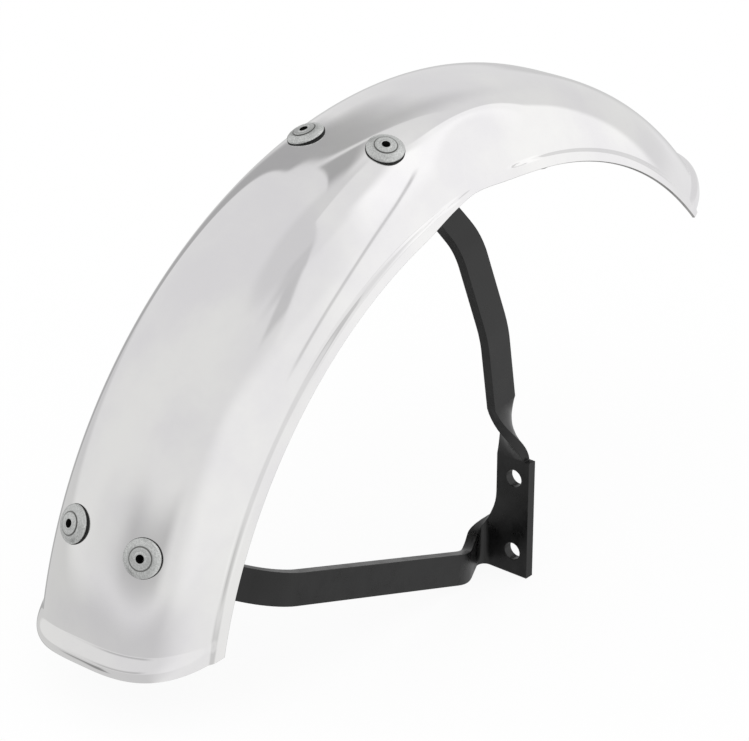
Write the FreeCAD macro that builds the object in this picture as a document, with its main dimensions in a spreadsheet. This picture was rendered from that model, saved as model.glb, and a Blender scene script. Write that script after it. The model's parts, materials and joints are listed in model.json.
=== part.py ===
"""Scooter mudguard: a polished sheet-steel blade riveted to a black flat-bar bracket.

The model stands as on the vehicle: +X forward, +Y to the left, +Z up. The origin is the middle of the
bracket plate's two bolt holes, on the plate's rear face. The blade is an arch about the wheel's axle, and
angles on it are measured about that axle, from straight up towards the rear.
"""

import FreeCAD, Part
import math
import os

import Sketcher
from FreeCAD import Placement, Rotation, Vector

doc = FreeCAD.newDocument("scooter_mudguard")

# Driving dimensions, in millimetres and degrees
SIZES = {
    # Where the wheel's axle lies from the bolt holes
    "axle_forward": 24.0,
    "axle_below": 52.0,
    "holes_beside_blade": 21.3,
    # Blade
    "crown_radius": 250.0,
    "half_width": 52.5,
    "side_drop": 35.5,
    "section_power": 3.35,
    "sheet_thickness": 1.5,
    "rear_end_angle": 80.2,
    "front_end_angle": 50.3,
    "corner_setback": 13.0,
    "lip_step": 1.4,
    "lip_width": 4.5,
    "lip_blend": 3.0,
    "flare_height": 3.5,
    "flare_width": 12.0,
    "flare_rise": 7.5,
    "roll_width": 4.5,
    "roll_drop": 2.2,
    "hollow_depth": 5.0,
    "hollow_angle": 2.5,
    "hollow_reach": 9.5,
    "hollow_top": 27.0,
    "relief_height": 3.0,
    "relief_angle": 9.0,
    "relief_reach": 10.0,
    # Rivets, washers and seals
    "rear_rivet_angle": 66.7,
    "front_rivet_angle": 15.1,
    "rivet_spacing": 42.0,
    "rivet_shift": 2.5,
    "rivet_diameter": 6.4,
    "rivet_bore": 3.8,
    "rivet_head_diameter": 10.4,
    "rivet_head_rim": 0.4,
    "rivet_head_crown": 0.4,
    "rivet_head_flat_diameter": 9.2,
    "rivet_tail_diameter": 9.0,
    "rivet_tail_height": 2.5,
    "rivet_tail_gap": 0.5,
    "hole_clearance": 0.1,
    "washer_diameter": 18.2,
    "washer_flat_diameter": 11.6,
    "washer_thickness": 1.2,
    "washer_dish": 1.3,
    "seal_overhang": 0.2,
    "seal_thickness": 0.2,
    # Bracket
    "bar_width": 16.0,
    "bar_thickness": 5.0,
    "strap_clearance": 0.3,
    "strap_overhang": 11.0,
    "rear_strap_skew": -3.5,
    "front_strap_skew": 9.7,
    "exit_drop": 8.8,
    "exit_overhang": 1.5,
    "exit_angle": 45.0,
    "front_exit_run": 13.0,
    "front_exit_spread": 6.6,
    "rear_exit_run": 20.5,
    "rear_arm_beside_blade": 12.5,
    "front_knee_rise": 39.0,
    "knee_bend_reach": 7.0,
    "twist_length": 31.0,
    "twist_setback": 7.5,
    "twist_inset": 2.4,
    "plate_width": 19.4,
    "plate_above_holes": 10.5,
    "plate_below_holes": 12.3,
    "hole_spacing": 40.0,
    "hole_diameter": 9.0,
    "hole_edge_distance": 9.0,
    "plate_bend_offset": 3.2,
    "plate_bend_radius": 4.0,
    "joggle_angle": 26.0,
    "web_fillet": 26.0,
    "rear_arm_lift": 1.1,
}

sheet = doc.addObject("Spreadsheet::Sheet", "Sizes")
for row, (alias, value) in enumerate(SIZES.items(), start=1):
    sheet.set(f"A{row}", alias)
    sheet.set(f"B{row}", str(value))
    sheet.setAlias(f"B{row}", alias)
doc.recompute()


def size(alias):
    """A driving dimension, as the spreadsheet holds it."""
    return float(sheet.get(alias))


def smooth(value):
    """A ramp from 0 to 1 that starts and ends level."""
    value = min(max(value, 0.0), 1.0)
    return value * value * (3.0 - 2.0 * value)


AXLE = Vector(
    size("axle_forward"),
    size("half_width") + size("holes_beside_blade"),
    -size("axle_below"),
)
LEFTWARD = Vector(0, 1, 0)
DOWNWARD = Vector(0, 0, -1)


def radial(angle):
    """The direction out from the axle at an angle, in radians, from straight up towards the rear."""
    return Vector(-math.sin(angle), 0, math.cos(angle))


# Blade: the pressed sheet

RIGHT_SIDE = -1
CORNER_POWER = 6
FLARE_FADE_POWER = 2.5
HOLLOW_STEEPNESS = 1.4
FLARE_MARGIN = 1.5
LIP_MARGIN = 1.3
FLARE_STATIONS = 11
ARCH_STATIONS = 66
LIP_STATIONS = 7
CROWN_STATIONS = 26


def section_slope(lateral):
    """How steeply the blade's section falls towards its edge at a lateral place."""
    share = abs(lateral) / size("half_width")
    steepest = size("side_drop") * size("section_power") / size("half_width")
    return steepest * share ** (size("section_power") - 1.0)


def section_radius(lateral):
    """The section's outer radius about the axle at a lateral place."""
    share = abs(lateral) / size("half_width")
    return size("crown_radius") - size("side_drop") * share ** size("section_power")


def section_normal(lateral, angle):
    """The outward direction of the plain section."""
    slope = math.copysign(section_slope(lateral), lateral)
    normal = LEFTWARD * slope + radial(angle)
    return normal.normalize()


def end_angle(lateral, end_degrees):
    """Where the blade ends at a lateral place: straight across, with rounded corners."""
    share = abs(lateral) / size("half_width")
    setback = size("corner_setback") * share**CORNER_POWER
    return math.radians(end_degrees) - setback / section_radius(lateral)


def window(angle, centre, reach):
    """A smooth rise and fall along the arch, zero beyond the reach on both sides of its centre."""
    return smooth(1.0 - abs(math.degrees(angle) - centre) / reach)


def side_lip(lateral):
    """How far the stepped lip along the long edges stands out."""
    along_section = math.hypot(1.0, section_slope(size("half_width")))
    from_edge = (size("half_width") - abs(lateral)) * along_section
    ramp = (size("lip_width") + size("lip_blend") - from_edge) / size("lip_blend")
    return size("lip_step") * smooth(ramp)


def end_flare(lateral, angle):
    """How far the lip at the two ends stands out: it flares, rolls over and fades into the corners."""
    rear_gap = end_angle(lateral, size("rear_end_angle")) - angle
    front_gap = end_angle(lateral, size("front_end_angle")) + angle
    from_end = max(min(rear_gap, front_gap), 0.0) * section_radius(lateral)
    share = abs(lateral) / size("half_width")
    fade = 1.0 - share**FLARE_FADE_POWER
    risen = size("flare_height") * smooth((size("flare_width") - from_end) / size("flare_rise"))
    rolled = size("roll_drop") * max(1.0 - from_end / size("roll_width"), 0.0) ** 2
    return fade * (risen - rolled)


def side_hollow(lateral, angle):
    """How far the right side is pressed in, from the shoulder down to the edge."""
    below_top = (RIGHT_SIDE * lateral - size("hollow_top")) / (size("half_width") - size("hollow_top"))
    return window(angle, size("hollow_angle"), size("hollow_reach")) * smooth(HOLLOW_STEEPNESS * below_top)


def skin(lateral, angle, depth=0.0):
    """A point of the formed sheet, at a depth below its outer face."""
    pressed = side_hollow(lateral, angle)
    raised = side_lip(lateral) * (1.0 - pressed) + end_flare(lateral, angle)
    raised -= size("hollow_depth") * pressed
    plain = AXLE + LEFTWARD * lateral + radial(angle) * section_radius(lateral)
    return plain + section_normal(lateral, angle) * (raised - depth)


def spread(start, stop, count):
    """Evenly spaced values from start up to, but not including, stop."""
    return [start + (stop - start) * step / count for step in range(count)]


def arch_shares():
    """Stations along the blade, as shares of its length: close together at the flared ends."""
    arc = math.radians(size("rear_end_angle") + size("front_end_angle")) * size("crown_radius")
    flare = FLARE_MARGIN * size("flare_width") / arc
    shares = spread(0.0, flare, FLARE_STATIONS)
    shares += spread(flare, 1.0 - flare, ARCH_STATIONS)
    shares += spread(1.0 - flare, 1.0, FLARE_STATIONS)
    return shares + [1.0]


def section_shares():
    """Stations across the blade, from its right edge to its left edge: close together at the lips."""
    along_section = math.hypot(1.0, section_slope(size("half_width")))
    lip = LIP_MARGIN * (size("lip_width") + size("lip_blend")) / along_section / size("half_width")
    shares = spread(-1.0, lip - 1.0, LIP_STATIONS)
    shares += spread(lip - 1.0, 1.0 - lip, CROWN_STATIONS)
    shares += spread(1.0 - lip, 1.0, LIP_STATIONS)
    return shares + [1.0]


def sheet_face(depth):
    """One face of the sheet as a smooth surface through its stations."""
    along_section = math.hypot(1.0, section_slope(size("half_width")))
    rows = []
    for along in arch_shares():
        row = []
        for across in section_shares():
            lateral = across * size("half_width")
            front = -end_angle(lateral, size("front_end_angle"))
            rear = end_angle(lateral, size("rear_end_angle"))
            angle = front + (rear - front) * along
            if RIGHT_SIDE * across > 0:
                relief = window(angle, size("relief_angle"), size("relief_reach"))
                lateral *= 1.0 - relief * size("relief_height") / along_section / size("half_width")
            row.append(skin(lateral, angle, depth))
        rows.append(row)
    surface = Part.BSplineSurface()
    surface.interpolate(rows)
    return surface


def borders(surface):
    """The four edges of a surface, in a fixed order."""
    first_u, last_u, first_v, last_v = surface.bounds()
    curves = [surface.uIso(first_u), surface.uIso(last_u), surface.vIso(first_v), surface.vIso(last_v)]
    return [curve.toShape() for curve in curves]


def pressed_sheet():
    """The blade as one closed sheet, before its holes."""
    outer = sheet_face(0.0)
    inner = sheet_face(size("sheet_thickness"))
    faces = [outer.toShape(), inner.toShape()]
    for outer_edge, inner_edge in zip(borders(outer), borders(inner)):
        faces.append(Part.makeRuledSurface(outer_edge, inner_edge))
    shell = Part.makeShell(faces)
    shell.sewShape()
    solid = Part.makeSolid(shell)
    if solid.Volume < 0:
        solid.reverse()
    return solid


# Fastening places: four rivets, two on each strap


def strap_angle(strap, along):
    """The angle about the axle of a strap's middle line, at a distance along the strap from its middle."""
    skew = math.tan(math.radians(size(f"{strap}_strap_skew")))
    return math.radians(size(f"{strap}_rivet_angle")) + skew * along / size("crown_radius")


def rivet_place(strap, side):
    """A rivet's lateral place and angle: side is +1 on the left and -1 on the right."""
    along = side * size("rivet_spacing") / 2.0
    return along - size("rivet_shift"), strap_angle(strap, along)


def rivet_frame(strap, side):
    """The rivet's seat on the blade's outer face, with its axis along the outward normal."""
    lateral, angle = rivet_place(strap, side)
    normal = section_normal(lateral, angle)
    return Placement(skin(lateral, angle), Rotation(Vector(0, 0, 1), normal))


def lifted(frame, height):
    """The same frame, moved along its own axis."""
    return frame.multiply(Placement(Vector(0, 0, height), Rotation()))


FASTENINGS = {
    f"{strap}_{side_name}": rivet_frame(strap, side)
    for strap in ("rear", "front")
    for side_name, side in (("left", 1), ("right", -1))
}
GRIP_DEPTH = size("sheet_thickness") + size("strap_clearance") + size("bar_thickness")
HOLE_REACH = 2.0 * (GRIP_DEPTH + size("rivet_tail_height"))


def rivet_holes(name):
    """Drills for the four rivets, through whatever they are cut from."""
    drills = []
    for place, frame in FASTENINGS.items():
        drill = doc.addObject("Part::Cylinder", f"{name}_{place}")
        drill.setExpression("Radius", "Sizes.rivet_diameter / 2 + Sizes.hole_clearance")
        drill.Height = HOLE_REACH
        drill.Placement = lifted(frame, -HOLE_REACH / 2.0)
        drills.append(drill)
    return drills


def cut_part(label, base, drills):
    """A named sub-part: a base shape less its drilled holes."""
    holes = doc.addObject("Part::MultiFuse", f"{label}_holes")
    holes.Shapes = drills
    part = doc.addObject("Part::Cut", label)
    part.Base = base
    part.Tool = holes
    part.Label = label
    return part


blade_sheet = doc.addObject("Part::Feature", "blade_sheet")
blade_sheet.Shape = pressed_sheet()
blade = cut_part("blade", blade_sheet, rivet_holes("blade_drill"))
doc.recompute()


# Bracket: flat bar, described by frames along it. A frame is the bar's middle, its width across and its
# thickness outwards, both as vectors of full length.

STRAP_END = size("rivet_spacing") / 2.0 + size("rivet_tail_diameter")
STRAP_STATIONS = 9
BEND_STATIONS = 7
TWIST_STATIONS = 9
WEB_STATIONS = 14
WASTE_REACH = 1.9


def bar_frame(middle, run, outward, width=None):
    """A frame square to the bar's run, with its outer face towards the outward direction."""
    run = Vector(run).normalize()
    across = run.cross(outward).normalize()
    thickness = across.cross(run).normalize() * size("bar_thickness")
    return middle, across * (width or size("bar_width")), thickness


def frame_run(frame):
    """The direction that the bar runs in at a frame."""
    return frame[2].cross(frame[1]).normalize()


def bar_section(frame):
    """The bar's rectangular section at a frame."""
    middle, across, thickness = frame
    signs = ((-0.5, -0.5), (0.5, -0.5), (0.5, 0.5), (-0.5, 0.5))
    corners = [middle + across * a + thickness * b for a, b in signs]
    return Part.makePolygon(corners + corners[:1])


def bar_piece(frames):
    """A run of bar through its frames: straight between two, smooth through more."""
    return Part.makeLoft([bar_section(frame) for frame in frames], True, len(frames) == 2)


def bar_from(runs):
    """One bar from runs that follow each other end to end."""
    pieces = [bar_piece(frames) for frames in runs]
    return pieces[0].fuse(pieces[1:]).removeSplitter()


def hermite(start, stop, share):
    """A point and its direction on a smooth curve from one frame to another."""
    reach = start[0].distanceToPoint(stop[0])
    leave, arrive = frame_run(start) * reach, frame_run(stop) * reach
    point = start[0] * (2 * share**3 - 3 * share**2 + 1) + leave * (share**3 - 2 * share**2 + share)
    point += stop[0] * (3 * share**2 - 2 * share**3) + arrive * (share**3 - share**2)
    run = (start[0] - stop[0]) * (6 * share**2 - 6 * share) + leave * (3 * share**2 - 4 * share + 1)
    run += arrive * (3 * share**2 - 2 * share)
    return point, run


def bend(start, stop, stations=BEND_STATIONS):
    """Frames of a smooth bend or twist from one frame to another."""
    turn = start[2].getAngle(stop[2])
    frames = [start]
    for step in range(1, stations):
        share = step / stations
        point, run = hermite(start, stop, share)
        outward = start[2] * math.sin(turn * (1.0 - share)) + stop[2] * math.sin(turn * share)
        frames.append(bar_frame(point, run, outward))
    return frames + [stop]


def strap_frames(strap):
    """The strap under the crown, from past its left rivet to past its right rivet."""
    depth = GRIP_DEPTH - size("bar_thickness") / 2.0
    left_end = size("rivet_spacing") / 2.0 + size("strap_overhang")
    frames = []
    for along in spread(left_end, -STRAP_END, STRAP_STATIONS) + [-STRAP_END]:
        lateral = along - size("rivet_shift")
        angle = strap_angle(strap, along)
        normal = section_normal(lateral, angle)
        middle = AXLE + LEFTWARD * lateral + radial(angle) * section_radius(lateral) - normal * depth
        rightward = radial(angle) * math.copysign(section_slope(lateral), lateral) - LEFTWARD
        skewed = radial(angle).cross(LEFTWARD) * math.tan(math.radians(size(f"{strap}_strap_skew")))
        frames.append(bar_frame(middle, rightward + skewed, normal))
    return frames


def exit_frame(strap, last_strap, arm_end):
    """The bar just below the blade's right edge, turned outwards, on its way to the end of its arm."""
    radius = section_radius(size("half_width")) - size("exit_drop")
    lateral = -size("half_width") - size("exit_overhang")
    straight_out = AXLE + LEFTWARD * lateral + radial(strap_angle(strap, -STRAP_END)) * radius
    bar_gone = STRAP_END + last_strap[0].distanceToPoint(straight_out)
    middle = AXLE + LEFTWARD * lateral + radial(strap_angle(strap, -bar_gone)) * radius
    along = Vector(arm_end - middle)
    along.y = 0
    along.normalize()
    turn = math.radians(size("exit_angle"))
    return bar_frame(middle, along * math.cos(turn) - LEFTWARD * math.sin(turn), -LEFTWARD), along


PLATE_TOP = size("hole_spacing") / 2.0 + size("plate_above_holes")
PLATE_FOOT = -size("hole_spacing") / 2.0 - size("plate_below_holes")
PLATE_OUTER_EDGE = -size("hole_edge_distance")
PLATE_INNER_EDGE = PLATE_OUTER_EDGE + size("plate_width")
PLATE_MIDDLE = size("bar_thickness") / 2.0
WEB_TOP = PLATE_FOOT + size("bar_width")
FOLD_RADIUS = size("plate_bend_radius") + size("bar_thickness") / 2.0
FOLD_TURN = math.radians(90.0 + size("joggle_angle"))
FOLD_CENTRE = Vector(-size("plate_bend_radius"), PLATE_INNER_EDGE + size("plate_bend_offset"), 0)


def front_bar():
    """Front strap, arm and quarter twist, down to the plate's top."""
    plate_end = bar_frame(
        Vector(PLATE_MIDDLE, PLATE_INNER_EDGE - size("bar_width") / 2.0, PLATE_TOP),
        DOWNWARD,
        Vector(1, 0, 0),
    )
    arm_end = plate_end[0] + Vector(-size("twist_setback"), size("twist_inset"), size("twist_length"))
    strap = strap_frames("front")
    leaving, along = exit_frame("front", strap[-1], arm_end)
    arm_foot = bar_frame(arm_end, along, -LEFTWARD)
    knee = arm_end - along * size("front_knee_rise")
    arm_top = leaving[0] + along * size("front_exit_run") - LEFTWARD * size("front_exit_spread")
    slanted = (knee - arm_top).normalize()
    below_exit = bar_frame(arm_top, slanted, -LEFTWARD)
    above_knee = bar_frame(knee - slanted * size("knee_bend_reach"), slanted, -LEFTWARD)
    below_knee = bar_frame(knee + along * size("knee_bend_reach"), along, -LEFTWARD)
    return bar_from(
        [
            strap,
            bend(strap[-1], leaving),
            bend(leaving, below_exit),
            [below_exit, above_knee],
            bend(above_knee, below_knee),
            [below_knee, arm_foot],
            bend(arm_foot, plate_end, TWIST_STATIONS),
        ]
    )


def web_place(developed):
    """The bar's middle and outward direction on its way round the fold into the plate.

    The place is given as a length along the flattened bar, counted back from the plate's inner edge.
    """
    past_tab = developed - size("plate_bend_offset")
    turned = min(max(past_tab / FOLD_RADIUS, 0.0), FOLD_TURN)
    outward = Vector(-math.cos(turned), -math.sin(turned), 0)
    run = Vector(math.sin(turned), -math.cos(turned), 0)
    straight = min(past_tab, 0.0) + max(past_tab - FOLD_RADIUS * FOLD_TURN, 0.0)
    return FOLD_CENTRE - outward * FOLD_RADIUS - run * straight, run, outward


def web_frame(developed, foot, top):
    """An upright section of the web between two heights."""
    middle, run, outward = web_place(developed)
    middle.z = (foot + top) / 2.0
    return bar_frame(middle, run, outward, top - foot)


def web():
    """The end of the bar that folds round into the plate, widening with a fillet up the plate's edge."""
    top = WEB_TOP + size("web_fillet")
    tall = top - PLATE_FOOT
    half = size("bar_thickness") / 2.0
    tab_start = Vector(0, PLATE_INNER_EDGE, PLATE_FOOT)
    tab = Part.makeBox(size("bar_thickness"), size("plate_bend_offset"), tall, tab_start)
    low_centre = Vector(FOLD_CENTRE.x, FOLD_CENTRE.y, PLATE_FOOT)
    turn = math.degrees(FOLD_TURN)
    outside = Part.makeCylinder(FOLD_RADIUS + half, tall, low_centre, -DOWNWARD, turn)
    inside = Part.makeCylinder(FOLD_RADIUS - half, tall, low_centre, -DOWNWARD)
    fold_end = size("plate_bend_offset") + FOLD_RADIUS * FOLD_TURN
    straight = bar_piece([web_frame(place, PLATE_FOOT, top) for place in (size("web_fillet"), fold_end)])
    waste = []
    for step in range(WEB_STATIONS + 1):
        turned = math.pi / 2.0 * (1.0 - step / WEB_STATIONS)
        developed = size("web_fillet") * (1.0 - math.cos(turned))
        fillet_height = WEB_TOP + size("web_fillet") * (1.0 - math.sin(turned))
        middle, across, thickness = web_frame(developed, fillet_height, top + half)
        waste.append((middle, across, thickness * (WASTE_REACH * FOLD_RADIUS / size("bar_thickness"))))
    body = tab.fuse([outside.cut(inside), straight])
    return body.cut(Part.makeLoft([bar_section(frame) for frame in waste], True, True))


def rear_bar():
    """Rear strap, arm, joggle and the fold into the plate."""
    web_start = web_frame(size("web_fillet"), PLATE_FOOT, WEB_TOP)
    joggle = frame_run(web_start)
    arm_lateral = AXLE.y - size("half_width") - size("rear_arm_beside_blade") + size("bar_thickness") / 2.0
    corner = web_start[0] - joggle * ((web_start[0].y - arm_lateral) / joggle.y)
    corner.z += size("rear_arm_lift")
    strap = strap_frames("rear")
    leaving, along = exit_frame("rear", strap[-1], corner)
    arm_top = leaving[0] + along * size("rear_exit_run")
    arm_top.y = arm_lateral
    below_exit = bar_frame(arm_top, along, -LEFTWARD)
    above_joggle = bar_frame(corner - along * size("knee_bend_reach"), along, -LEFTWARD)
    joggle_start = corner + joggle * size("knee_bend_reach")
    joggle_start.z = web_start[0].z
    below_joggle = bar_frame(joggle_start, joggle, web_start[2])
    runs = [
        strap,
        bend(strap[-1], leaving),
        bend(leaving, below_exit),
        [below_exit, above_joggle],
        bend(above_joggle, below_joggle),
        [below_joggle, web_start],
    ]
    return bar_from(runs).fuse(web()).removeSplitter()


def bolt_holes():
    """Drills for the plate's two bolts."""
    drills = []
    for name, sign in (("upper", "+"), ("lower", "-")):
        drill = doc.addObject("Part::Cylinder", f"{name}_bolt_drill")
        drill.setExpression("Radius", "Sizes.hole_diameter / 2")
        drill.setExpression("Height", "3 * Sizes.bar_thickness")
        drill.setExpression("Placement.Base.x", "-Sizes.bar_thickness")
        drill.setExpression("Placement.Base.z", f"{sign}Sizes.hole_spacing / 2")
        drill.Placement.Rotation = Rotation(LEFTWARD, 90)
        drills.append(drill)
    return drills


plate = doc.addObject("Part::Box", "bracket_plate")
plate.setExpression("Length", "Sizes.bar_thickness")
plate.setExpression("Width", "Sizes.plate_width")
plate.setExpression("Height", "Sizes.hole_spacing + Sizes.plate_above_holes + Sizes.plate_below_holes")
plate.setExpression("Placement.Base.y", "-Sizes.hole_edge_distance")
plate.setExpression("Placement.Base.z", "-Sizes.hole_spacing / 2 - Sizes.plate_below_holes")

bars = []
for name, make_bar in (("front_bar", front_bar), ("rear_bar", rear_bar)):
    bar = doc.addObject("Part::Feature", name)
    bar.Shape = make_bar()
    bars.append(bar)
whole_bracket = doc.addObject("Part::MultiFuse", "whole_bracket")
whole_bracket.Shapes = [plate] + bars
whole_bracket.Refine = True
bracket = cut_part("bracket", whole_bracket, rivet_holes("bracket_drill") + bolt_holes())
doc.recompute()


# Rivets, washers and seals: one of each at every fastening place. A turned piece is given by the corners of
# its half section: the sizes that add up to twice the corner's radius, and those that add up to its height.

WASHER_BORE = ["rivet_diameter", "hole_clearance", "hole_clearance"]
WASHER_CORNERS = [
    (["washer_diameter"], []),
    (["washer_diameter"], ["washer_thickness"]),
    (["washer_flat_diameter"], ["washer_thickness", "washer_dish"]),
    (WASHER_BORE, ["washer_thickness", "washer_dish"]),
    (WASHER_BORE, ["washer_dish"]),
    (["washer_flat_diameter"], ["washer_dish"]),
]

RIVET_BELOW_SHEET = ["rivet_tail_height", "rivet_tail_gap", "bar_thickness", "strap_clearance"]
RIVET_SHANK = RIVET_BELOW_SHEET + ["sheet_thickness", "seal_thickness", "washer_dish", "washer_thickness"]
RIVET_RIM = RIVET_SHANK + ["rivet_head_rim"]
RIVET_TOP = RIVET_RIM + ["rivet_head_crown"]
RIVET_CORNERS = [
    ([], []),
    (["rivet_tail_diameter"], []),
    (["rivet_tail_diameter"], ["rivet_tail_height"]),
    (["rivet_diameter"], ["rivet_tail_height"]),
    (["rivet_diameter"], RIVET_SHANK),
    (["rivet_head_diameter"], RIVET_SHANK),
    (["rivet_head_diameter"], RIVET_RIM),
    (["rivet_head_flat_diameter"], RIVET_TOP),
    (["rivet_bore"], RIVET_TOP),
    (["rivet_bore"], ["rivet_tail_height"]),
    ([], ["rivet_tail_height"]),
]


def total(aliases):
    """The sum of some driving dimensions."""
    return sum(size(alias) for alias in aliases)


def total_expression(aliases):
    """The same sum, as an expression that follows the spreadsheet."""
    return " + ".join(f"Sizes.{alias}" for alias in aliases)


def turned_body(label, corners, frame):
    """A piece turned about its own Z axis, standing on that axis's foot, then placed in a frame.

    The sketch's own level axis is its geometry -1, and its upright axis is its geometry -2.
    """
    body = doc.addObject("PartDesign::Body", label)
    sketch = body.newObject("Sketcher::SketchObject", f"{label}_section")
    plane = next(item for item in body.Origin.OriginFeatures if item.Role == "XZ_Plane")
    sketch.AttachmentSupport = [(plane, "")]
    sketch.MapMode = "FlatFace"
    points = [Vector(total(across) / 2.0, total(up), 0) for across, up in corners]
    for start, stop in zip(points, points[1:] + points[:1]):
        sketch.addGeometry(Part.LineSegment(start, stop), False)
    for index, (across, up) in enumerate(corners):
        following = (index + 1) % len(corners)
        sketch.addConstraint(Sketcher.Constraint("Coincident", index, 2, following, 1))
        if across:
            radius = sketch.addConstraint(Sketcher.Constraint("DistanceX", -1, 1, index, 1, points[index].x))
            sketch.setExpression(f"Constraints[{radius}]", f"({total_expression(across)}) / 2")
        else:
            sketch.addConstraint(Sketcher.Constraint("PointOnObject", index, 1, -2))
        if up:
            height = sketch.addConstraint(Sketcher.Constraint("DistanceY", -1, 1, index, 1, points[index].y))
            sketch.setExpression(f"Constraints[{height}]", total_expression(up))
        else:
            sketch.addConstraint(Sketcher.Constraint("PointOnObject", index, 1, -1))
    turning = body.newObject("PartDesign::Revolution", f"{label}_turning")
    turning.Profile = sketch
    turning.ReferenceAxis = (sketch, ["V_Axis"])
    turning.Angle = 360
    body.Tip = turning
    body.Placement = frame
    return body


def seal_disc(label, frame):
    """A rubber disc with a flat top, moulded to the blade below it."""
    radius = size("washer_diameter") / 2.0 + size("seal_overhang")
    foot = Vector(0, 0, -radius / 2.0)
    disc = Part.makeCylinder(radius, size("seal_thickness") - foot.z, foot)
    hole = Part.makeCylinder(total(WASHER_BORE) / 2.0, disc.BoundBox.ZLength, foot)
    sheet_below = blade_sheet.Shape.transformed(frame.inverse().toMatrix())
    pieces = disc.cut([hole, sheet_below]).Solids
    seal = doc.addObject("Part::Feature", label)
    seal.Shape = max(pieces, key=lambda piece: piece.CenterOfMass.z)
    seal.Placement = frame
    return seal


fasteners = []
for place, frame in FASTENINGS.items():
    rivet_foot = lifted(frame, -total(RIVET_BELOW_SHEET + ["sheet_thickness"]))
    fasteners.append(turned_body(f"rivet_{place}", RIVET_CORNERS, rivet_foot))
    fasteners.append(turned_body(f"washer_{place}", WASHER_CORNERS, lifted(frame, size("seal_thickness"))))
    fasteners.append(seal_disc(f"seal_{place}", frame))
doc.recompute()

# Checks, then one file for each sub-part

for item in doc.Objects:
    if {"Invalid", "Error"} & set(item.State):
        raise RuntimeError(f"{item.Label} failed: {item.State}")

sub_parts = [blade, bracket] + fasteners
for sub_part in sub_parts:
    if sub_part.Shape.isNull() or not sub_part.Shape.isValid():
        raise RuntimeError(f"{sub_part.Label} has no valid shape")

os.makedirs("parts", exist_ok=True)
for sub_part in sub_parts:
    sub_part.Shape.exportStep(f"parts/{sub_part.Label}.step")
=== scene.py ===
"""A polished steel scooter mudguard on its black bracket, in a white studio. All lengths are in metres."""

import json
import math

import bpy
from mathutils import Matrix, Vector


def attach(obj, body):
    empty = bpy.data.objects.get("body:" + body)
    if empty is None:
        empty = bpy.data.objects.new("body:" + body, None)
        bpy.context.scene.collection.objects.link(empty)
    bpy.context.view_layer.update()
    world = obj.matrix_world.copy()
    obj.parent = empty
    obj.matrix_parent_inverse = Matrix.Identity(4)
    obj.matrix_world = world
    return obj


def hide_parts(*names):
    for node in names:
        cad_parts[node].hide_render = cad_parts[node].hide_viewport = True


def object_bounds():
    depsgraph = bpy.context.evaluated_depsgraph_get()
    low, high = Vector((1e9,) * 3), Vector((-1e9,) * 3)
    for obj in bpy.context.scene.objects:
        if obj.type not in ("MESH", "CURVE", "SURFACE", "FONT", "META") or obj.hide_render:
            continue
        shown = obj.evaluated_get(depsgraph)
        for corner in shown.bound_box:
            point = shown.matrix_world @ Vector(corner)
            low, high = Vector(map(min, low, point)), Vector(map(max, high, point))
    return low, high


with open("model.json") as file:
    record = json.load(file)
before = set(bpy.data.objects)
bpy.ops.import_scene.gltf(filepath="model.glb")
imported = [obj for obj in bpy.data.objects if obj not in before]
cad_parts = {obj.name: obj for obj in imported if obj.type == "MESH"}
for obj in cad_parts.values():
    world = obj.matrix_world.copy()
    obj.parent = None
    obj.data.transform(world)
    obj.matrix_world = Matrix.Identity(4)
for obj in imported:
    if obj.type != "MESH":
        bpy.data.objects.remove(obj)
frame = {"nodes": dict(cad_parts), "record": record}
cad_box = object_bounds()

# The blade is one sheet of stainless steel, pressed into an arch about the wheel's axle and polished
# outside. A stepped lip stiffens both long edges, both ends flare and roll over, and the right side is
# pressed in where the front arm leaves it. Four drilled holes take the rivets.
BOLT_MIDDLE = Vector(frame["record"]["mounts"][0]["pos_m"])
AXLE = BOLT_MIDDLE + Vector((0.024, 0.0738, -0.052))
CROWN_RADIUS = 0.250
HALF_WIDTH = 0.0525
SIDE_DROP = 0.0355
SECTION_POWER = 3.35
SHEET_THICKNESS = 0.0015
REAR_END = math.radians(80.2)
FRONT_END = math.radians(50.3)
CORNER_SETBACK = 0.013
CORNER_POWER = 6
LIP_STEP = 0.0014
LIP_WIDTH = 0.0045
LIP_BLEND = 0.003
FLARE_HEIGHT = 0.0035
FLARE_WIDTH = 0.012
FLARE_RISE = 0.0075
FLARE_FADE_POWER = 2.5
ROLL_WIDTH = 0.0045
ROLL_DROP = 0.0022
HOLLOW_DEPTH = 0.005
HOLLOW_ANGLE = math.radians(2.5)
HOLLOW_REACH = math.radians(9.5)
HOLLOW_TOP = 0.027
HOLLOW_STEEPNESS = 1.4
RELIEF_HEIGHT = 0.003
RELIEF_ANGLE = math.radians(9.0)
RELIEF_REACH = math.radians(10.0)
# The sheet starts as a flat grid that runs from -1 to 1 both ways
GRID_SIZE = 2.0
BLADE_CELLS_ALONG = 300
BLADE_CELLS_ACROSS = 92
CLOSER_AT_ENDS = 0.8
CLOSER_AT_EDGES = 0.8
INWARD = -1.0
INNER_SLOT = 1
RIM_ROUNDING = 0.0004
RIM_SEGMENTS = 3
RIM_ANGLE = math.radians(60)
BLADE_CREASE = math.radians(50)
RIVET_SPACING = 0.042
RIVET_SHIFT = 0.0025
# Each strap's angle round the axle, and how far it is skewed from straight across
STRAPS = {
    "rear": (math.radians(66.7), math.radians(-3.5)),
    "front": (math.radians(15.1), math.radians(9.7)),
}
SIDES = {"left": 1, "right": -1}
RIVET_PLACES = [(strap, side) for strap in STRAPS for side in SIDES]
HOLE_DIAMETER = 0.0066
DRILL_LENGTH = 0.010
LEFTWARD = Vector((0, 1, 0))


def smooth(value):
    """A ramp from 0 to 1 that starts and ends level."""
    value = min(max(value, 0.0), 1.0)
    return value * value * (3.0 - 2.0 * value)


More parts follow.
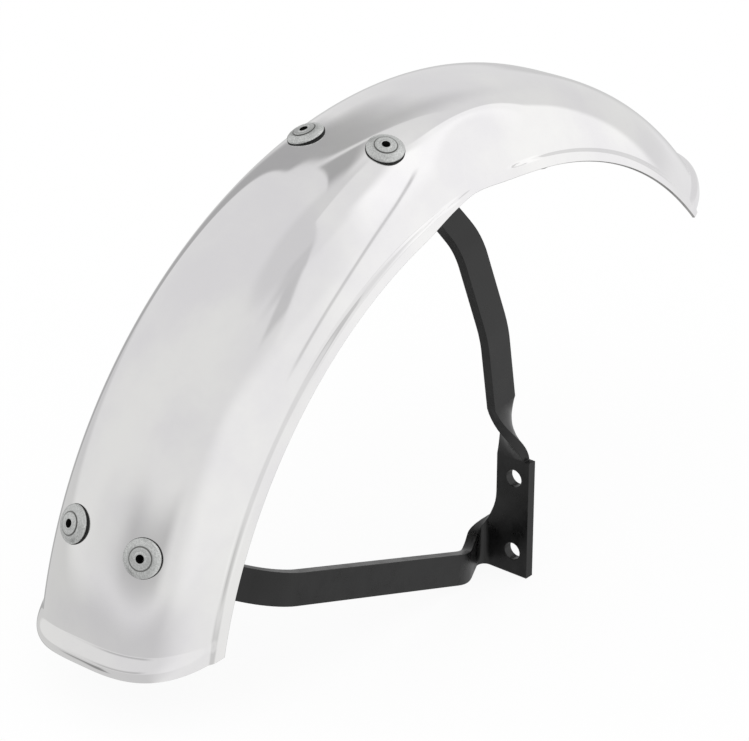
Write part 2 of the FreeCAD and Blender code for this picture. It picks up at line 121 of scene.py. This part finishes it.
def out_from_axle(angle):
    """The direction out from the axle, at an angle from straight up towards the rear."""
    return Vector((-math.sin(angle), 0, math.cos(angle)))


def section_radius(lateral):
    """The pressed section's distance from the axle."""
    return CROWN_RADIUS - SIDE_DROP * (abs(lateral) / HALF_WIDTH) ** SECTION_POWER


def section_slope(lateral):
    """How steeply the section falls towards its edge."""
    return SIDE_DROP * SECTION_POWER / HALF_WIDTH * (abs(lateral) / HALF_WIDTH) ** (SECTION_POWER - 1.0)


def section_normal(lateral, angle):
    """The outward direction of the plain section."""
    slope = math.copysign(section_slope(lateral), lateral)
    return (LEFTWARD * slope + out_from_axle(angle)).normalized()


def end_angle(lateral, end):
    """Where the sheet ends at a lateral place: straight across, with rounded corners."""
    setback = CORNER_SETBACK * (abs(lateral) / HALF_WIDTH) ** CORNER_POWER
    return end - setback / section_radius(lateral)


EDGE_STRETCH = math.hypot(1.0, section_slope(HALF_WIDTH))


def end_flare(lateral, angle):
    """How far the lip at the two ends stands out: it flares, rolls over and fades into the corners."""
    rear_gap = end_angle(lateral, REAR_END) - angle
    front_gap = end_angle(lateral, FRONT_END) + angle
    from_end = max(min(rear_gap, front_gap), 0.0) * section_radius(lateral)
    fade = 1.0 - (abs(lateral) / HALF_WIDTH) ** FLARE_FADE_POWER
    risen = FLARE_HEIGHT * smooth((FLARE_WIDTH - from_end) / FLARE_RISE)
    rolled = ROLL_DROP * max(1.0 - from_end / ROLL_WIDTH, 0.0) ** 2
    return fade * (risen - rolled)


def pressed_sheet(lateral, angle):
    """A point of the blade's outer face."""
    from_edge = (HALF_WIDTH - abs(lateral)) * EDGE_STRETCH
    lip = LIP_STEP * smooth((LIP_WIDTH + LIP_BLEND - from_edge) / LIP_BLEND)
    below_shoulder = smooth(HOLLOW_STEEPNESS * (-lateral - HOLLOW_TOP) / (HALF_WIDTH - HOLLOW_TOP))
    hollow = smooth(1.0 - abs(angle - HOLLOW_ANGLE) / HOLLOW_REACH) * below_shoulder
    raised = lip * (1.0 - hollow) + end_flare(lateral, angle) - HOLLOW_DEPTH * hollow
    plain = AXLE + LEFTWARD * lateral + out_from_axle(angle) * section_radius(lateral)
    return plain + section_normal(lateral, angle) * raised


def rivet_seat(strap, side):
    """A rivet's place on the blade's outer face, with Z outwards."""
    angle, skew = STRAPS[strap]
    along = SIDES[side] * RIVET_SPACING / 2.0
    angle += math.tan(skew) * along / CROWN_RADIUS
    lateral = along - RIVET_SHIFT
    turn = section_normal(lateral, angle).to_track_quat("Z", "Y")
    return Matrix.LocRotScale(pressed_sheet(lateral, angle), turn, None)


def closer_at_rims(place, amount):
    """A place from -1 to 1, moved towards the nearer rim, so that the cells are smaller there."""
    return place + amount * math.sin(math.pi * place) / math.pi


def apply_modifiers(piece):
    """Applies a piece's modifiers in order."""
    bpy.ops.object.select_all(action="DESELECT")
    piece.select_set(True)
    bpy.context.view_layer.objects.active = piece
    for modifier in list(piece.modifiers):
        bpy.ops.object.modifier_apply(modifier=modifier.name)


bpy.ops.object.select_all(action="DESELECT")
bpy.ops.mesh.primitive_grid_add(
    x_subdivisions=BLADE_CELLS_ALONG, y_subdivisions=BLADE_CELLS_ACROSS, size=GRID_SIZE
)
blade = bpy.context.object
blade.name = "polished_blade"
for vertex in blade.data.vertices:
    lateral = HALF_WIDTH * closer_at_rims(vertex.co.y, CLOSER_AT_EDGES)
    along = (closer_at_rims(vertex.co.x, CLOSER_AT_ENDS) + 1.0) / 2.0
    front, rear = -end_angle(lateral, FRONT_END), end_angle(lateral, REAR_END)
    angle = rear + (front - rear) * along
    if lateral < 0:
        relief = smooth(1.0 - abs(angle - RELIEF_ANGLE) / RELIEF_REACH)
        lateral *= 1.0 - relief * RELIEF_HEIGHT / EDGE_STRETCH / HALF_WIDTH
    vertex.co = pressed_sheet(lateral, angle)
thickness = blade.modifiers.new("sheet", "SOLIDIFY")
thickness.thickness = SHEET_THICKNESS
thickness.offset = INWARD
thickness.use_even_offset = True
thickness.material_offset = INNER_SLOT
thickness.material_offset_rim = INNER_SLOT
rim = blade.modifiers.new("rim", "BEVEL")
rim.width = RIM_ROUNDING
rim.segments = RIM_SEGMENTS
rim.limit_method = "ANGLE"
rim.angle_limit = RIM_ANGLE
drills = []
for strap, side in RIVET_PLACES:
    bpy.ops.object.select_all(action="DESELECT")
    bpy.ops.mesh.primitive_cylinder_add(radius=HOLE_DIAMETER / 2.0, depth=DRILL_LENGTH)
    drill = bpy.context.object
    drill.data.transform(rivet_seat(strap, side))
    drills.append(drill)
for drill in drills:
    drill.select_set(True)
bpy.ops.object.join()
joined_drills = bpy.context.object
holes = blade.modifiers.new("rivet_holes", "BOOLEAN")
holes.operation = "DIFFERENCE"
holes.object = joined_drills


def add_node(tree, kind, inputs, **settings):
    """Adds a node with its settings, and gives its inputs their values or links."""
    node = tree.nodes.new(kind)
    for setting, value in settings.items():
        setattr(node, setting, value)
    for socket, value in inputs.items():
        if isinstance(value, bpy.types.NodeSocket):
            tree.links.new(value, node.inputs[socket])
        else:
            node.inputs[socket].default_value = value
    return node


def new_material(name, values):
    """A material with these plain values on its shader's sockets."""
    material = bpy.data.materials.new(name)
    material.use_nodes = True
    shader = material.node_tree.nodes["Principled BSDF"]
    for socket, value in values.items():
        shader.inputs[socket].default_value = value
    return material, material.node_tree, shader


def object_place(tree):
    """The place on a piece, in metres."""
    return add_node(tree, "ShaderNodeTexCoord", {}).outputs["Object"]


MOTTLE_DETAIL = 5.0
MOTTLE_ROUGHNESS = 0.55
MOTTLE_LEAST = 0.34
MOTTLE_MOST = 0.66
mottle = bpy.data.node_groups.new("mottle", "ShaderNodeTree")
mottle.interface.new_socket("Place", in_out="INPUT", socket_type="NodeSocketVector")
mottle.interface.new_socket("Spots per metre", in_out="INPUT", socket_type="NodeSocketFloat")
mottle.interface.new_socket("Mask", in_out="OUTPUT", socket_type="NodeSocketFloat")
given = mottle.nodes.new("NodeGroupInput")
clouds = add_node(
    mottle,
    "ShaderNodeTexNoise",
    {
        "Vector": given.outputs["Place"],
        "Scale": given.outputs["Spots per metre"],
        "Detail": MOTTLE_DETAIL,
        "Roughness": MOTTLE_ROUGHNESS,
    },
)
spread = add_node(
    mottle,
    "ShaderNodeMapRange",
    {"Value": clouds.outputs["Fac"], "From Min": MOTTLE_LEAST, "From Max": MOTTLE_MOST},
    interpolation_type="SMOOTHSTEP",
)
add_node(mottle, "NodeGroupOutput", {"Mask": spread.outputs["Result"]})


def mottle_mask(tree, place, spots_per_metre):
    """A soft random mask from 0 to 1 over a piece."""
    inputs = {"Place": place, "Spots per metre": spots_per_metre}
    return add_node(tree, "ShaderNodeGroup", inputs, node_tree=mottle).outputs["Mask"]


def mix_colours(tree, mask, first, second):
    """One colour where a mask is 0 and another where it is 1: a mix node's sockets 6 and 7."""
    return add_node(tree, "ShaderNodeMix", {0: mask, 6: first, 7: second}, data_type="RGBA").outputs[2]


def blend_colours(tree, mask, shader, first, second):
    """Feeds a shader's colour with two colours that follow a mask."""
    tree.links.new(mix_colours(tree, mask, first, second), shader.inputs["Base Color"])


def blend_roughness(tree, mask, shader, least, most):
    """Feeds a shader's roughness with a value that follows a mask."""
    inputs = {"Value": mask, "To Min": least, "To Max": most}
    tree.links.new(add_node(tree, "ShaderNodeMapRange", inputs).outputs["Result"], shader.inputs["Roughness"])


def add_bump(tree, shader, height, distance, strength):
    """Raises a shader's surface by a height, in metres for a height of 1."""
    inputs = {"Height": height, "Distance": distance, "Strength": strength}
    tree.links.new(add_node(tree, "ShaderNodeBump", inputs).outputs["Normal"], shader.inputs["Normal"])


COOL_STEEL = (0.860, 0.848, 0.864, 1)
WARM_STEEL = (0.935, 0.930, 0.918, 1)
TINT_SPOTS = 14.0
POLISH_SPOTS = 45.0
POLISHED_ROUGHNESS = (0.03, 0.07)
WAVES_PER_METRE = 26.0
WAVE_DETAIL = 1.0
WAVE_HEIGHT = 0.00006
WAVE_STRENGTH = 1.0
polished, tree, shader = new_material("polished_steel", {"Metallic": 1.0})
place = object_place(tree)
blend_colours(tree, mottle_mask(tree, place, TINT_SPOTS), shader, COOL_STEEL, WARM_STEEL)
blend_roughness(tree, mottle_mask(tree, place, POLISH_SPOTS), shader, *POLISHED_ROUGHNESS)
dents = {"Vector": place, "Scale": WAVES_PER_METRE, "Detail": WAVE_DETAIL}
waves = add_node(tree, "ShaderNodeTexNoise", dents)
add_bump(tree, shader, waves.outputs["Fac"], WAVE_HEIGHT, WAVE_STRENGTH)

DULL_STEEL = (0.34, 0.335, 0.33, 1)
SCUFFED_STEEL = (0.52, 0.515, 0.505, 1)
STAIN_SPOTS = 40.0
DULL_ROUGHNESS = (0.36, 0.5)
inner, tree, shader = new_material("unpolished_steel", {"Metallic": 1.0})
stains = mottle_mask(tree, object_place(tree), STAIN_SPOTS)
blend_colours(tree, stains, shader, DULL_STEEL, SCUFFED_STEEL)
blend_roughness(tree, stains, shader, *DULL_ROUGHNESS)

blade.data.materials.append(polished)
blade.data.materials.append(inner)
apply_modifiers(blade)
bpy.data.objects.remove(joined_drills)
bpy.ops.object.shade_smooth_by_angle(angle=BLADE_CREASE)
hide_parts("blade")
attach(blade, "root")

# The bracket is bent from flat steel bar and powder-coated black. Two straps lie under the blade, leave
# it below its right edge and run down as arms into one upright plate with two bolt holes.
MERGE_DISTANCE = 1e-6
FLAT_ANGLE = math.radians(0.6)
COAT_ROUNDING = 0.0006
COAT_SEGMENTS = 3
COAT_CORNER_ANGLE = math.radians(40)
COAT_CREASE = math.radians(35)
bracket = bpy.data.objects.new("coated_bracket", frame["nodes"]["bracket"].data.copy())
bracket.data.materials.clear()
bpy.context.scene.collection.objects.link(bracket)
bpy.ops.object.select_all(action="DESELECT")
bracket.select_set(True)
bpy.context.view_layer.objects.active = bracket
bpy.ops.object.mode_set(mode="EDIT")
bpy.ops.mesh.select_all(action="SELECT")
bpy.ops.mesh.remove_doubles(threshold=MERGE_DISTANCE)
bpy.ops.mesh.dissolve_limited(angle_limit=FLAT_ANGLE)
bpy.ops.object.mode_set(mode="OBJECT")
corners = bracket.modifiers.new("corners", "BEVEL")
corners.width = COAT_ROUNDING
corners.segments = COAT_SEGMENTS
corners.limit_method = "ANGLE"
corners.angle_limit = COAT_CORNER_ANGLE
flat_faces = bracket.modifiers.new("flat_faces", "WEIGHTED_NORMAL")
flat_faces.keep_sharp = True

COAT_DARK = (0.002, 0.002, 0.0021, 1)
COAT_DUSTY = (0.0045, 0.0045, 0.0046, 1)
DUST_SPOTS = 120.0
COAT_ROUGHNESS = (0.27, 0.36)
PEEL_PER_METRE = 900.0
PEEL_DETAIL = 3.0
PEEL_HEIGHT = 0.0003
PEEL_STRENGTH = 0.1
coat, tree, shader = new_material("black_coat", {"Specular IOR Level": 0.5})
place = object_place(tree)
dust = mottle_mask(tree, place, DUST_SPOTS)
blend_colours(tree, dust, shader, COAT_DARK, COAT_DUSTY)
blend_roughness(tree, dust, shader, *COAT_ROUGHNESS)
grain = {"Vector": place, "Scale": PEEL_PER_METRE, "Detail": PEEL_DETAIL}
peel = add_node(tree, "ShaderNodeTexNoise", grain)
add_bump(tree, shader, peel.outputs["Fac"], PEEL_HEIGHT, PEEL_STRENGTH)
bracket.data.materials.append(coat)
bpy.ops.object.shade_smooth_by_angle(angle=COAT_CREASE)
apply_modifiers(bracket)
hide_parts("bracket")
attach(bracket, "root")

# The four seals are thin discs of black rubber, punched from sheet. Each lies on the blade under a washer
# and closes the rivet's hole. They are too thin to need more shape than the CAD gives them.
SEAL_THICKNESS = 0.0002
RUBBER_DARK = (0.008, 0.008, 0.008, 1)
RUBBER_GREY = (0.016, 0.016, 0.016, 1)
BLOOM_SPOTS = 300.0
RUBBER_ROUGHNESS = (0.6, 0.75)
rubber, tree, shader = new_material("seal_rubber", {"Specular IOR Level": 0.3})
bloom = mottle_mask(tree, object_place(tree), BLOOM_SPOTS)
blend_colours(tree, bloom, shader, RUBBER_DARK, RUBBER_GREY)
blend_roughness(tree, bloom, shader, *RUBBER_ROUGHNESS)
for strap, side in RIVET_PLACES:
    seal = frame["nodes"][f"seal_{strap}_{side}"]
    seal.data.materials.clear()
    seal.data.materials.append(rubber)

# The four washers are turned from steel with a domed face and plated with zinc. Each lies on its seal under
# a rivet's head, and a thin dark ring of painted shade marks the zinc where the two meet.
TURNED_SIDES = 72
TURNED_CREASE = math.radians(40)
MILLIMETRE = 0.001
# Radius and height of each ring above the seal, in millimetres
WASHER_RINGS = [
    (9.1, 0.0), (9.1, 0.75), (8.95, 1.0), (8.3, 1.55), (7.5, 2.02), (6.6, 2.36), (5.8, 2.5),
    (3.3, 2.5), (3.3, 1.3), (5.8, 1.3), (8.9, 0.0), (9.1, 0.0),
]


def turned_piece(name, rings):
    """Turns a piece about Z: a circle is drawn out ring by ring, and what stays open is filled."""
    bpy.ops.object.select_all(action="DESELECT")
    radius, height = rings[0]
    bpy.ops.mesh.primitive_circle_add(vertices=TURNED_SIDES, radius=radius * MILLIMETRE)
    piece = bpy.context.object
    piece.name = name
    bpy.ops.object.mode_set(mode="EDIT")
    bpy.ops.mesh.select_all(action="SELECT")
    bpy.ops.transform.translate(value=(0, 0, height * MILLIMETRE))
    for next_radius, next_height in rings[1:]:
        rise = (0, 0, (next_height - height) * MILLIMETRE)
        growth = next_radius / radius
        bpy.ops.mesh.extrude_edges_move(TRANSFORM_OT_translate={"value": rise})
        bpy.ops.transform.resize(value=(growth, growth, 1.0), center_override=(0, 0, 0))
        radius, height = next_radius, next_height
    bpy.ops.mesh.select_all(action="SELECT")
    bpy.ops.mesh.remove_doubles(threshold=MERGE_DISTANCE)
    bpy.ops.mesh.fill_holes(sides=0)
    bpy.ops.mesh.select_all(action="SELECT")
    bpy.ops.mesh.normals_make_consistent(inside=False)
    bpy.ops.object.mode_set(mode="OBJECT")
    bpy.ops.object.shade_smooth_by_angle(angle=TURNED_CREASE)
    turned_place = piece.data.attributes.new("turned_place", "FLOAT_VECTOR", "POINT")
    for vertex in piece.data.vertices:
        turned_place.data[vertex.index].vector = vertex.co
    return piece


ZINC_DARK = (0.54, 0.55, 0.54, 1)
ZINC_BRIGHT = (0.72, 0.73, 0.72, 1)
# Painted shade: the zinc is coloured dark in a thin ring where a washer meets its rivet's head.
SEAM_PAINTED_SHADE = (0.16, 0.16, 0.155, 1)
SEAM_RADIUS = 0.0054
SEAM_REACH = 0.0006
SPANGLE_SPOTS = 1400.0
ZINC_ROUGHNESS = (0.34, 0.26)
# How many radians the grooves' wave turns for each metre out from the middle
GROOVE_TURNS = 9000.0
GROOVE_HEIGHT = 0.000006
GROOVE_STRENGTH = 0.5
zinc, tree, shader = new_material("zinc_plate", {"Metallic": 1.0})
spangle = mottle_mask(tree, object_place(tree), SPANGLE_SPOTS)
turned = add_node(tree, "ShaderNodeAttribute", {}, attribute_name="turned_place")
flat = add_node(
    tree, "ShaderNodeVectorMath", {0: turned.outputs["Vector"], 1: (1, 1, 0)}, operation="MULTIPLY"
)
radius = add_node(tree, "ShaderNodeVectorMath", {0: flat.outputs["Vector"]}, operation="LENGTH")
from_seam = {0: radius.outputs["Value"], 1: SEAM_RADIUS}
past_seam = add_node(tree, "ShaderNodeMath", from_seam, operation="SUBTRACT")
distance = add_node(tree, "ShaderNodeMath", {0: past_seam.outputs["Value"]}, operation="ABSOLUTE")
fading = {"Value": distance.outputs["Value"], "From Min": SEAM_REACH, "From Max": 0.0}
seam = add_node(tree, "ShaderNodeMapRange", fading, interpolation_type="SMOOTHSTEP")
plating = mix_colours(tree, spangle, ZINC_DARK, ZINC_BRIGHT)
blend_colours(tree, seam.outputs["Result"], shader, plating, SEAM_PAINTED_SHADE)
blend_roughness(tree, spangle, shader, *ZINC_ROUGHNESS)
turns = add_node(tree, "ShaderNodeMath", {0: radius.outputs["Value"], 1: GROOVE_TURNS}, operation="MULTIPLY")
grooves = add_node(tree, "ShaderNodeMath", {0: turns.outputs["Value"]}, operation="SINE")
add_bump(tree, shader, grooves.outputs["Value"], GROOVE_HEIGHT, GROOVE_STRENGTH)


def set_on_seals(pattern, piece_name):
    """Sets a copy of a turned pattern on each seal, and takes the pattern away."""
    for strap, side in RIVET_PLACES:
        name = f"{piece_name}_{strap}_{side}"
        fastener = bpy.data.objects.new(f"plated_{name}", pattern.data.copy())
        bpy.context.scene.collection.objects.link(fastener)
        fastener.data.transform(rivet_seat(strap, side) @ Matrix.Translation((0, 0, SEAL_THICKNESS)))
        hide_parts(name)
        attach(fastener, "root")
    bpy.data.objects.remove(pattern)


washer = turned_piece("washer_pattern", WASHER_RINGS)
washer.data.materials.append(zinc)
set_on_seals(washer, "washer")

# The four rivets are steel, zinc-plated like the washers, and hold the blade on the straps. A raised ring
# surrounds the blind bore in each turned head, and the tails are rolled over below the straps.
BORE_RADIUS = 0.00202
BORE_FOOT = -0.005
# Radius and height of each ring above the seal, in millimetres
RIVET_RINGS = [
    (1.3, -9.1), (1.9, -9.9), (2.8, -10.2), (3.7, -10.0), (4.4, -9.3), (4.5, -8.6), (4.2, -7.9), (3.2, -7.7),
    (3.2, 2.5), (5.15, 2.5), (5.2, 2.6), (5.2, 2.75), (5.05, 2.92), (4.75, 2.98), (3.5, 3.0),
    (3.0, 3.02), (2.7, 3.2), (2.35, 3.28), (2.05, 3.2), (1.9, 3.0), (1.9, -4.0),
]

# Painted shade: the inside of each bore is coloured near-black, with a faint random mottle, to stand for the
# shade deep in the hole.
BORE_DARK = (0.004, 0.004, 0.004, 1)
BORE_GREY = (0.010, 0.010, 0.009, 1)
BORE_MOTTLE_SPOTS = 900.0
BORE_ROUGHNESS = (0.7, 0.9)
bore_shade, tree, shader = new_material("bore_painted_shade", {"Specular IOR Level": 0.1})
bore_mottle = mottle_mask(tree, object_place(tree), BORE_MOTTLE_SPOTS)
blend_colours(tree, bore_mottle, shader, BORE_DARK, BORE_GREY)
blend_roughness(tree, bore_mottle, shader, *BORE_ROUGHNESS)

rivet = turned_piece("rivet_pattern", RIVET_RINGS)
rivet.data.materials.append(zinc)
rivet.data.materials.append(bore_shade)
# The faces inside the bore take the painted shade.
for polygon in rivet.data.polygons:
    in_bore = polygon.center.xy.length < BORE_RADIUS and polygon.center.z > BORE_FOOT
    polygon.material_index = int(in_bore)
set_on_seals(rivet, "rivet")

# The floor is a sheet of white paper that runs out of sight and keeps the part's faint shadow. The steel
# shows the studio's own floor level in its place.
FLOOR_GAP = 0.0005
FLOOR_SIZE = 40.0
PAPER_GLOW = 0.92
PAPER_SHADED = (1.0 - PAPER_GLOW, 1.0 - PAPER_GLOW, 1.0 - PAPER_GLOW, 1)
PAPER_FAR = (0.68, 0.68, 0.68, 1)
bpy.ops.object.select_all(action="DESELECT")
bpy.ops.mesh.primitive_plane_add(size=FLOOR_SIZE, location=(0, 0, cad_box[0][2] - FLOOR_GAP))
floor = bpy.context.object
floor.name = "floor"
paper = bpy.data.materials.new("paper")
paper.use_nodes = True
tree = paper.node_tree
tree.nodes.clear()
ray = add_node(tree, "ShaderNodeLightPath", {})
shaded = add_node(tree, "ShaderNodeBsdfDiffuse", {"Color": PAPER_SHADED})
glow = add_node(tree, "ShaderNodeEmission", {"Strength": PAPER_GLOW})
white = add_node(tree, "ShaderNodeAddShader", {0: shaded.outputs[0], 1: glow.outputs[0]})
plain = add_node(tree, "ShaderNodeBsdfDiffuse", {"Color": PAPER_FAR})
gone = add_node(tree, "ShaderNodeBsdfTransparent", {})
unseen = add_node(
    tree, "ShaderNodeMixShader", {0: ray.outputs["Is Glossy Ray"], 1: plain.outputs[0], 2: gone.outputs[0]}
)
sheet = add_node(
    tree, "ShaderNodeMixShader", {0: ray.outputs["Is Camera Ray"], 1: unseen.outputs[0], 2: white.outputs[0]}
)
add_node(tree, "ShaderNodeOutputMaterial", {"Surface": sheet.outputs[0]})
floor.data.materials.append(paper)

# The studio is a white room. Its soft panels, screens and gaps are what the polished steel shows, and
# its even light falls on everything else.
EVEN_LEVEL = 1.0
WALL_LEVEL = 0.765
# How many degrees the card's edge rises for each degree round
CARD_LEAN = 0.74
# Azimuth from and to, elevation from and to, the softness of these four edges (all in degrees), and level
CARD_EDGE = (3, 40, 12.6, 14.8, 4, 8, 1.4, 1.4, 0.66)
PANELS = {
    "floor": (-200, 200, -100, -3, 1, 1, 1, 8, 0.63),
    "near_floor": (-36, 110, -100, -3, 40, 20, 1, 8, 0.85),
    "near_wall": (-37, 30, -6, 34, 22, 20, 8, 16, 0.89),
    "near_wall_top": (-11, 30, 30, 62, 6, 20, 10, 10, 0.85),
    "ceiling": (-200, 200, 68, 100, 1, 1, 10, 1, 0.69),
    "front_ceiling": (-6, 118, 60, 100, 8, 12, 12, 1, 0.81),
    "softbox": (17, 80, -6, 60, 26, 4, 14, 16, 0.98),
    "softbox_core": (24, 66, 34, 64, 18, 12, 14, 12, 1.06),
    "far_screen": (126, 158, 30, 46, 56, 2, 18, 2, 0.40),
    "far_strip": (145, 158, -60, 45, 8, 2, 10, 2, 0.43),
    "front_shade": (137, 153.5, 48, 66, 12, 2, 2, 14, 0.42),
    "gap_over_camera": (-40, -9, 59, 73, 24, 4, 8, 6, 0.63),
    "gap_foot": (-26, -12, 44, 62, 6, 3, 6, 8, 0.60),
    "rear_screen": (-124, -58, 3, 20, 26, 18, 10, 14, 0.52),
    "dark_floor_behind": (-138, -117, -44, -21, 12, 10, 8, 6, 0.28),
    "dark_floor_beside": (32, 120, -70, -27, 10, 20, 8, 4, 0.40),
}
scene = bpy.context.scene
scene.view_settings.view_transform = "Standard"
world = bpy.data.worlds.new("studio")
scene.world = world
world.use_nodes = True
tree = world.node_tree
tree.nodes.clear()


def math_node(operation, *values):
    """The result of one step of arithmetic in the studio's surroundings."""
    return add_node(tree, "ShaderNodeMath", dict(enumerate(values)), operation=operation).outputs[0]


def soft_step(angle, at_none, at_full):
    """A mask that goes softly from 0 at one angle to 1 at another, in degrees."""
    edge = {"Value": angle, "From Min": math.radians(at_none), "From Max": math.radians(at_full)}
    return add_node(tree, "ShaderNodeMapRange", edge, interpolation_type="SMOOTHSTEP").outputs["Result"]


def between(angle, start, stop, start_softness, stop_softness):
    """A mask that is 1 between two angles in degrees, with soft edges."""
    risen = soft_step(angle, start - start_softness / 2.0, start + start_softness / 2.0)
    not_fallen = soft_step(angle, stop + stop_softness / 2.0, stop - stop_softness / 2.0)
    return math_node("MULTIPLY", risen, not_fallen)


def mix_levels(mask, first, second):
    """One level where a mask is 0 and another where it is 1: a mix node's sockets 2 and 3."""
    return add_node(tree, "ShaderNodeMix", {0: mask, 2: first, 3: second}, data_type="FLOAT").outputs[0]


def behind_panel(level, across, up, panel):
    """The level of the surroundings once a panel hides part of them."""
    left, right, foot, top, soft_left, soft_right, soft_foot, soft_top, panel_level = panel
    hidden_across = between(across, left, right, soft_left, soft_right)
    hidden_up = between(up, foot, top, soft_foot, soft_top)
    return mix_levels(math_node("MULTIPLY", hidden_across, hidden_up), level, panel_level)


direction = add_node(tree, "ShaderNodeTexCoord", {}).outputs["Generated"]
axes = add_node(tree, "ShaderNodeSeparateXYZ", {0: direction})
azimuth = math_node("ARCTAN2", axes.outputs["X"], math_node("MULTIPLY", axes.outputs["Y"], -1.0))
elevation = math_node("ARCSINE", axes.outputs["Z"])
level = WALL_LEVEL
for panel in PANELS.values():
    level = behind_panel(level, azimuth, elevation, panel)
leaning = math_node("SUBTRACT", elevation, math_node("MULTIPLY", azimuth, CARD_LEAN))
level = behind_panel(level, azimuth, leaning, CARD_EDGE)
path = add_node(tree, "ShaderNodeLightPath", {})
light = mix_levels(path.outputs["Is Glossy Ray"], EVEN_LEVEL, level)
background = add_node(tree, "ShaderNodeBackground", {"Color": (1, 1, 1, 1), "Strength": light})
add_node(tree, "ShaderNodeOutputWorld", {"Surface": background.outputs[0]})

# The camera has a long lens, so that the part shows little perspective. It stands above and behind the
# part, on its right.
CAMERA_AZIMUTH = math.radians(-50.277)
CAMERA_ELEVATION = math.radians(24.969)
CAMERA_DISTANCE = 1.39057
CAMERA_TARGET = AXLE + Vector((-0.004917, 0.029586, 0.092057))
SENSOR_WIDTH = 36.0
FOCAL_LENGTH = 131.73
camera_data = bpy.data.cameras.new("camera")
camera_data.sensor_width = SENSOR_WIDTH
camera_data.lens = FOCAL_LENGTH
camera = bpy.data.objects.new("camera", camera_data)
scene.collection.objects.link(camera)
sideways = Vector((math.sin(CAMERA_AZIMUTH), -math.cos(CAMERA_AZIMUTH), 0.0))
back = sideways * math.cos(CAMERA_ELEVATION) + Vector((0, 0, math.sin(CAMERA_ELEVATION)))
camera.location = CAMERA_TARGET + back * CAMERA_DISTANCE
camera.rotation_euler = (math.pi / 2.0 - CAMERA_ELEVATION, 0.0, CAMERA_AZIMUTH)
scene.camera = camera
